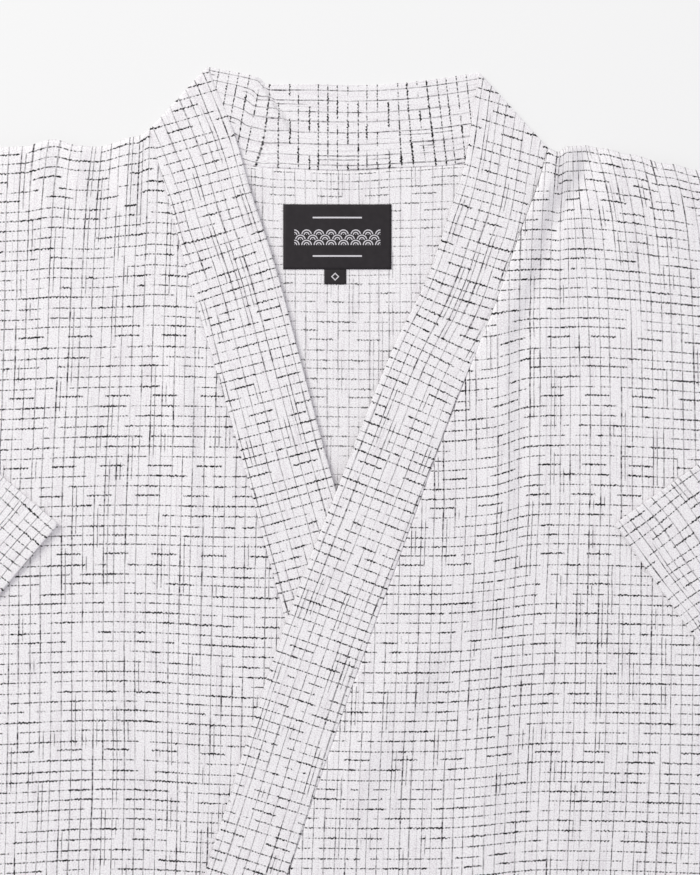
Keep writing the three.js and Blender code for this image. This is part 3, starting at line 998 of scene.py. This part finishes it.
def weft_lines(tree, in_mm, weft_way, warp_way):
    """How dark the weft's lines are, from 0 to 1."""
    random, offset, run = yarns(tree, warp_way, weft_way, WEFT_PITCH, 3.7)
    dashed = node(tree, "Math", [random, DASHED_SHARE], operation="LESS_THAN")
    own_start = node(tree, "Math", [random, 400.0, weft_way], operation="MULTIPLY_ADD")
    dash_turn = node(tree, "Math", [own_start, 2 * math.pi / DASH_PITCH], operation="MULTIPLY")
    dash_wave = node(tree, "Math", [dash_turn], operation="SINE")
    dash = node(tree, "MapRange", [dash_wave, -0.2, 0.1], interpolation_type="SMOOTHSTEP")
    thick = node(tree, "MapRange", [run(15, 0.5), 0.52, 0.6], interpolation_type="SMOOTHSTEP")
    slub = node(tree, "Mix", {SHARE: dashed, FLOAT_A: thick, FLOAT_B: 0.9})
    dyed = node(tree, "MapRange", [run(13, 4.5), 0.34, 0.41], interpolation_type="SMOOTHSTEP")
    shown = node(tree, "Mix", {SHARE: dashed, FLOAT_A: dyed, FLOAT_B: dash})

    # The line's middle sways with an uneven jag, and the beads along its slubs add to that.
    jag_scale = (1 / JAG_SIZE[0], 1 / JAG_SIZE[1], 0)
    jag_spot = node(tree, "VectorMath", [in_mm, jag_scale], operation="MULTIPLY")
    jag = node(tree, "TexNoise", {"Vector": jag_spot, "Scale": 1.0, "Detail": 1.5})
    jag_aside = node(tree, "Math", [jag, 0.5], operation="SUBTRACT")
    jag_width = node(tree, "Math", [slub, 1.1, 0.9], operation="MULTIPLY_ADD")
    aside = node(tree, "Math", [jag_aside, jag_width, offset], operation="MULTIPLY_ADD")
    bead_way = node(tree, "Math", [jag, 1.6, weft_way], operation="MULTIPLY_ADD")
    bead_turn = node(tree, "Math", [bead_way, 2 * math.pi / BEAD_PITCH], operation="MULTIPLY")
    bead_wave = node(tree, "Math", [bead_turn], operation="SINE")
    bead = node(tree, "Math", [bead_wave, BEAD_SWAY], operation="MULTIPLY")
    slub_bead = node(tree, "Math", [bead, slub], operation="MULTIPLY")
    aside = node(tree, "Math", [slub_bead, 0.9, aside], operation="MULTIPLY_ADD")

    # Specks and slubs widen the line and darken it.
    speck_noise = node(tree, "Math", [run(1.3, 6.2, 0.0), bead], operation="ADD")
    speck = node(tree, "MapRange", [speck_noise, 0.37, 0.6], interpolation_type="SMOOTHSTEP")
    half = node(tree, "Math", [slub, 0.16, 0.2], operation="MULTIPLY_ADD")
    half = node(tree, "Math", [speck, 0.2, half], operation="MULTIPLY_ADD")
    line = drawn_line(tree, aside, half, 0.2)
    strength = node(tree, "Math", [slub, 0.34, 0.37], operation="MULTIPLY_ADD")
    strength = node(tree, "Math", [speck, 0.58, strength], operation="MULTIPLY_ADD")
    seen = node(tree, "Math", [line, shown], operation="MULTIPLY")
    return node(tree, "Math", [seen, strength], operation="MULTIPLY")


print("dashes every", DASH_PITCH, "mm, beads every", BEAD_PITCH, "mm")

# %% [markdown]
# The warp. Its lines are soft and grey, flecked where the weft crosses them, at times darker and at
# times a close pair. Faint hairlines lie between them.

# %% Warp lines
PAIR_GAP = 2.5
HAIR_GAP = 3.2


def warp_lines(tree, weft_way, warp_way):
    """How dark the warp's lines are, and its hairlines, from 0 to 1."""
    _, offset, run = yarns(tree, weft_way, warp_way, WARP_PITCH, 11.3)
    thick = node(tree, "MapRange", [run(44, 1.5), 0.53, 0.6], interpolation_type="SMOOTHSTEP")
    dark = node(tree, "MapRange", [run(26, 21.5), 0.56, 0.63], interpolation_type="SMOOTHSTEP")
    pair = node(tree, "MapRange", [run(40, 9.5), 0.595, 0.63], interpolation_type="SMOOTHSTEP")
    dyed = node(tree, "MapRange", [run(60, 5.5), 0.3, 0.4, 0.35, 1.0], interpolation_type="SMOOTHSTEP")
    fleck = node(tree, "MapRange", [run(1.9, 8.5), 0.36, 0.62, 0.5, 1.0], interpolation_type="SMOOTHSTEP")
    wobble = node(tree, "Math", [run(14, 6.5), 0.7, -0.35], operation="MULTIPLY_ADD")
    aside = node(tree, "Math", [offset, wobble], operation="ADD")

    half = node(tree, "Math", [thick, 0.2, 0.28], operation="MULTIPLY_ADD")
    line = drawn_line(tree, aside, half, 0.28)
    line = node(tree, "Math", [line, dyed], operation="MULTIPLY")
    line = node(tree, "Math", [line, fleck], operation="MULTIPLY")
    bold = node(tree, "Math", [dark, pair], operation="MAXIMUM")
    strength = node(tree, "Math", [bold, 0.4, 0.68], operation="MULTIPLY_ADD")
    line = node(tree, "Math", [line, strength], operation="MULTIPLY")

    twin_aside = node(tree, "Math", [aside, PAIR_GAP], operation="SUBTRACT")
    twin = drawn_line(tree, twin_aside, 0.3, 0.28)
    twin = node(tree, "Math", [twin, pair], operation="MULTIPLY")
    twin = node(tree, "Math", [twin, fleck], operation="MULTIPLY")
    lines = node(tree, "Math", [twin, 0.85, line], operation="MULTIPLY_ADD")

    hair_aside = node(tree, "Math", [aside, HAIR_GAP], operation="ADD")
    hair = drawn_line(tree, hair_aside, 0.2, 0.3)
    hair = node(tree, "Math", [hair, fleck], operation="MULTIPLY")
    hair_run = node(tree, "MapRange", [run(36, 13.5), 0.46, 0.54], interpolation_type="SMOOTHSTEP")
    hair = node(tree, "Math", [hair, hair_run], operation="MULTIPLY")
    return lines, node(tree, "Math", [hair, 0.28], operation="MULTIPLY")


print("a pair is", PAIR_GAP, "mm apart")

# %% [markdown]
# The whole cloth. White cotton isn't one white: runs of yarn are a shade greyer, and the weave itself
# makes a fine grain. The real threads are about 0.3 mm apart, too fine to show, so the grain is drawn
# at about 0.8 mm. The finish is matt with a little sheen from loose fibres. Inside the back the wrong
# side shows, and its dark yarns are drawn paler. This is partly because the wrong side is paler and
# partly painted light that offsets the shade falling into the neck opening.

# %% Kasuri cotton
STREAK_SIZE = (4.5, 40)   # a pale streak's size along the weft and along the warp
GRAIN_SCALE = 1.25        # patches of weave grain in a millimetre


def kasuri_cotton(name, ink):
    """ink is how strongly the dark yarns show."""
    material, tree, shader = new_material(name)
    in_mm, weft_way, warp_way = grain_in_mm(tree)
    weft = weft_lines(tree, in_mm, weft_way, warp_way)
    warp, hair = warp_lines(tree, weft_way, warp_way)

    streak_scale = (1 / STREAK_SIZE[0], 1 / STREAK_SIZE[1], 0)
    streak_spot = node(tree, "VectorMath", [in_mm, streak_scale], operation="MULTIPLY")
    streak = node(tree, "TexNoise", {"Vector": streak_spot, "Scale": 1.0, "Detail": 2.0, "Roughness": 0.6})
    streaks = node(tree, "MapRange", [streak, 0.45, 0.75, 0.1, 0.7], interpolation_type="SMOOTHSTEP")
    weave = node(tree, "TexNoise", {"Vector": in_mm, "Scale": GRAIN_SCALE, "Detail": 2.0})
    specks = node(tree, "MapRange", [weave, 0.35, 0.65, -0.6, 0.95], interpolation_type="SMOOTHSTEP")
    shade = node(tree, "Math", [streaks, specks], operation="ADD")
    whites = {SHARE: shade, COLOUR_A: linear("#FFFEFF"), COLOUR_B: linear("#E8E3E7")}
    white = node(tree, "Mix", whites, data_type="RGBA").outputs[COLOUR_OUT]

    greyed = node(tree, "Math", [warp, hair], operation="ADD")
    greyed = node(tree, "Math", [greyed, ink], operation="MULTIPLY")
    greys = {SHARE: greyed, COLOUR_A: white, COLOUR_B: linear("#2C252E")}
    grey = node(tree, "Mix", greys, data_type="RGBA").outputs[COLOUR_OUT]
    blackened = node(tree, "Math", [weft, ink], operation="MULTIPLY")
    blacks = {SHARE: blackened, COLOUR_A: grey, COLOUR_B: linear("#0A080B")}
    inked = node(tree, "Mix", blacks, data_type="RGBA").outputs[COLOUR_OUT]
    tree.links.new(inked, shader.inputs["Base Color"])

    # The dark yarns stand up a little, and the weave's grain is raised with them.
    raised = node(tree, "Math", [weave, 0.5], operation="MULTIPLY")
    raised = node(tree, "Math", [weft, 0.4, raised], operation="MULTIPLY_ADD")
    raised = node(tree, "Math", [warp, 0.4, raised], operation="MULTIPLY_ADD")
    bump = node(tree, "Bump", {"Strength": 0.25, "Distance": 0.0004, "Height": raised})
    tree.links.new(bump.outputs[0], shader.inputs["Normal"])
    shader.inputs["Roughness"].default_value = 0.88
    shader.inputs["Specular IOR Level"].default_value = 0.25
    shader.inputs["Sheen Weight"].default_value = 0.12
    shader.inputs["Sheen Roughness"].default_value = 0.6
    return material


cotton = kasuri_cotton("kasuri plain-weave cotton", 1.0)
# Paler ink for the inside of the back: partly the wrong side, partly painted light against the shade in the
# neck opening.
wrong_side_with_painted_light = kasuri_cotton("kasuri cotton, wrong side with painted light", 0.66)
print(cotton.name, len(cotton.node_tree.nodes), "nodes")

# %% [markdown]
# The label is a satin weave: long black floats with a faint rib, a little glossier than the cotton. It
# carries a small woven strip of seigaiha, the traditional wave of overlapping rings, in silver yarn.
# The tab below it carries a small diamond. Both motifs are worked out from distances to rings and
# lines, which keeps their edges sharp at any size.

# %% Woven motifs
RING = 8.0          # across one ring, mm
RING_STEP = 1.55    # between the lines inside a ring
STRIP_HALF = 28     # half the length of the strip of waves
RULE_HALF = 16      # half the length of the rules above and below it
RULE_Y = 12.5       # from the label's middle to a rule


def ring_field(tree, x, y, shift_x, shift_y):
    """Distance from the nearest centre of one row of rings, and height above those centres."""
    moved = node(tree, "Math", [x, shift_x], operation="ADD")
    across = node(tree, "Math", [moved, RING, 0.0], operation="WRAP")
    dx = node(tree, "Math", [across, RING / 2], operation="SUBTRACT")
    dy = node(tree, "Math", [y, shift_y], operation="ADD")
    square = node(tree, "Math", [dx, dx], operation="MULTIPLY")
    square = node(tree, "Math", [dy, dy, square], operation="MULTIPLY_ADD")
    return node(tree, "Math", [square], operation="SQRT"), dy


def wave_strip(tree, x, y):
    """Three rows of overlapping half rings between two thin rules."""
    seen = 0.0
    for row in range(3):
        distance, dy = ring_field(tree, x, y, RING / 2 * (row % 2), RING / 2.4 * (row - 1) + 2)
        ring_turn = node(tree, "Math", [distance, 2 * math.pi / RING_STEP], operation="MULTIPLY")
        ring_wave = node(tree, "Math", [ring_turn], operation="COSINE")
        rings = node(tree, "MapRange", [ring_wave, -0.1, 0.5], interpolation_type="SMOOTHSTEP")
        inside = node(tree, "Math", [distance, RING / 2], operation="LESS_THAN")
        upper = node(tree, "Math", [dy, 0.0], operation="GREATER_THAN")
        here = node(tree, "Math", [inside, upper], operation="MULTIPLY")
        elsewhere = node(tree, "Math", [1.0, here], operation="SUBTRACT")
        drawn = node(tree, "Math", [rings, here], operation="MULTIPLY")
        seen = node(tree, "Math", [seen, elsewhere, drawn], operation="MULTIPLY_ADD")
    strip = node(tree, "Math", [seen, drawn_line(tree, x, STRIP_HALF, 0.1)], operation="MULTIPLY")
    up_or_down = node(tree, "Math", [y], operation="ABSOLUTE")
    from_rule = node(tree, "Math", [up_or_down, RULE_Y], operation="SUBTRACT")
    rule = drawn_line(tree, from_rule, 0.5, 0.1)
    return node(tree, "Math", [rule, drawn_line(tree, x, RULE_HALF, 0.1), strip], operation="MULTIPLY_ADD")


def diamond(tree, x, y):
    """One small woven diamond."""
    across = node(tree, "Math", [x], operation="ABSOLUTE")
    up = node(tree, "Math", [y], operation="ABSOLUTE")
    size = node(tree, "Math", [across, up], operation="ADD")
    from_outline = node(tree, "Math", [size, 2.2], operation="SUBTRACT")
    return drawn_line(tree, from_outline, 0.45, 0.12)


print("rings", RING, "mm across")

# %% [markdown]
# The satin's black is never quite even, so a broad noise moves it between two blacks. The silver yarn
# floats on top, and is raised with the rib in the bump.

# %% Label satin
RIB_PITCH = 0.7


def label_satin(name, motif):
    """Black satin with a silver motif, which is a function of the place on the label."""
    material, tree, shader = new_material(name)
    in_mm, x, y = grain_in_mm(tree)
    silver = motif(tree, x, y)
    rib_turn = node(tree, "Math", [y, 2 * math.pi / RIB_PITCH], operation="MULTIPLY")
    rib = node(tree, "Math", [rib_turn], operation="SINE")
    cloud = node(tree, "TexNoise", {"Vector": in_mm, "Scale": 0.25, "Detail": 4.0})
    blacks = {SHARE: cloud, COLOUR_A: linear("#201C1F"), COLOUR_B: linear("#312D30")}
    black = node(tree, "Mix", blacks, data_type="RGBA").outputs[COLOUR_OUT]
    woven = {SHARE: silver, COLOUR_A: black, COLOUR_B: linear("#DCD9DE")}
    colour = node(tree, "Mix", woven, data_type="RGBA").outputs[COLOUR_OUT]
    tree.links.new(colour, shader.inputs["Base Color"])
    raised = node(tree, "Math", [rib, 0.15], operation="MULTIPLY")
    raised = node(tree, "Math", [silver, 0.6, raised], operation="MULTIPLY_ADD")
    bump = node(tree, "Bump", {"Strength": 0.3, "Distance": 0.0002, "Height": raised})
    tree.links.new(bump.outputs[0], shader.inputs["Normal"])
    shader.inputs["Roughness"].default_value = 0.55
    shader.inputs["Specular IOR Level"].default_value = 0.26
    return material


wave_satin = label_satin("black label satin with silver waves", wave_strip)
tab_satin = label_satin("black tab satin with a silver diamond", diamond)
print(wave_satin.name, len(wave_satin.node_tree.nodes), "nodes")

# %% [markdown]
# Every piece rides on the one rigid body, replaces its solid and takes its finish. The table also
# lists what each was cut from and what it rests on, which the loop doesn't use. Flat sizes are width
# by length in metres, with the flat area in square metres where the piece isn't a rectangle.

# %% Pieces in the frame
# The back panel takes the paler cotton, which is partly painted light lifting the shade inside the neck.
FINISHES = {"back_panel": wrong_side_with_painted_light, "neck_label": wave_satin, "size_tab": tab_satin}

# piece, node of the frame, flat width and length, flat area, what it rests on
PIECES = [
    (back, "back_panel", (0.60, 0.745), None, ["floor"]),
    (collar, "collar_back", (0.26, 0.052), None, ["floor"]),
    (right_front, "front_right_under", (0.38, 0.745), 0.20, ["back_panel"]),
    (right_band, "band_right_under", (0.053, 0.815), None, ["back_panel"]),
    (left_front, "front_left_over", (0.425, 0.735), 0.22, ["back_panel", "front_right_under"]),
    (left_band, "band_left_over", (0.052, 0.84), None, ["back_panel", "band_right_under"]),
    (left_sleeve, "sleeve_left", (0.29, 0.42), 0.075, ["floor", "front_left_over"]),
    (right_sleeve, "sleeve_right", (0.29, 0.42), 0.07, ["floor", "front_right_under"]),
    (label, "neck_label", (0.0705, 0.0423), None, ["back_panel"]),
    (tab, "size_tab", (0.0143, 0.01), None, ["back_panel"]),
    (front_tie, "tie_front", (0.018, 0.23), None, ["front_right_under"]),
    (side_tie, "tie_side", (0.018, 0.22), None, ["front_right_under"]),
    (shorts_back_left, "shorts_back_left", (0.298, 0.512), 0.13, ["floor"]),
    (shorts_back_right, "shorts_back_right", (0.298, 0.512), 0.13, ["floor"]),
    (shorts_front_left, "shorts_front_left", (0.298, 0.512), 0.13, ["shorts_back_left"]),
    (shorts_front_right, "shorts_front_right", (0.298, 0.512), 0.13, ["shorts_back_right"]),
    (back_waist, "waistband_back", (0.42, 0.038), None, ["floor"]),
    (front_waist, "waistband_front", (0.42, 0.038), None, ["waistband_back"]),
]
for piece, cad_node, flat, area, rests_on in PIECES:
    piece.data.materials.append(FINISHES.get(cad_node, cotton))
    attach(piece, "root")
    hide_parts(cad_node)
    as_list(rests_on)
print(len(PIECES), "pieces placed")

# %% [markdown]
# The set lies on a pale sweep that glows a little, as a lit paper background does. An even sky gives
# soft fill, and one broad softbox from the upper left, low enough to shade the folds, gives the form.

# %% Floor and light
bpy.context.scene.view_settings.view_transform = "Standard"

FLOOR_DROP = 0.0004   # just under the cloth, so that the two surfaces never share a place
floor_mesh = bmesh.new()
bmesh.ops.create_grid(floor_mesh, x_segments=1, y_segments=1, size=6)
bmesh.ops.translate(floor_mesh, verts=floor_mesh.verts, vec=(0, 0, -FLOOR_DROP))
floor = finish_piece("pale_floor", floor_mesh)
floor_paint, _, floor_shader = new_material("matt white studio sweep")
floor_shader.inputs["Base Color"].default_value = linear("#A0A0A0")
floor_shader.inputs["Emission Color"].default_value = linear("#FFFFFF")
floor_shader.inputs["Emission Strength"].default_value = 0.575
floor_shader.inputs["Roughness"].default_value = 0.95
floor_shader.inputs["Specular IOR Level"].default_value = 0.1
floor.data.materials.append(floor_paint)

world = bpy.data.worlds.new("even sky")
world.use_nodes = True
world.node_tree.nodes["Background"].inputs["Color"].default_value = linear("#FBFAFF")
world.node_tree.nodes["Background"].inputs["Strength"].default_value = 0.66
bpy.context.scene.world = world

softbox_data = bpy.data.lights.new("softbox", "AREA")
softbox_data.shape = "SQUARE"
softbox_data.size = 1.3
softbox_data.energy = 43
softbox_data.color = (1.0, 1.0, 0.94)
softbox = bpy.data.objects.new("softbox", softbox_data)
softbox.location = place(-1700, 1350, 1900)
softbox.rotation_euler = (softbox.location - place(0, -150, 0)).to_track_quat("Z", "Y").to_euler()
bpy.context.scene.collection.objects.link(softbox)
print("softbox", [round(c, 2) for c in softbox.location])

# %% [markdown]
# The camera looks straight down on the neck and chest through a long lens, so that the thin layers
# don't shift against each other. Its height is worked out from the length of cloth that it takes in.

# %% Camera
VIEW_LENGTH = 0.569
VIEW_MIDDLE = place(4.5, -190, 3)
LENS, SENSOR = 100, 36
camera_data = bpy.data.cameras.new("camera")
camera_data.lens = LENS
camera_data.sensor_width = SENSOR
camera = bpy.data.objects.new("camera", camera_data)
camera.location = VIEW_MIDDLE + Vector((0, 0, VIEW_LENGTH * LENS / SENSOR))
bpy.context.scene.collection.objects.link(camera)
bpy.context.scene.camera = camera
print("camera", round(camera.location.z, 2), "m above the floor")
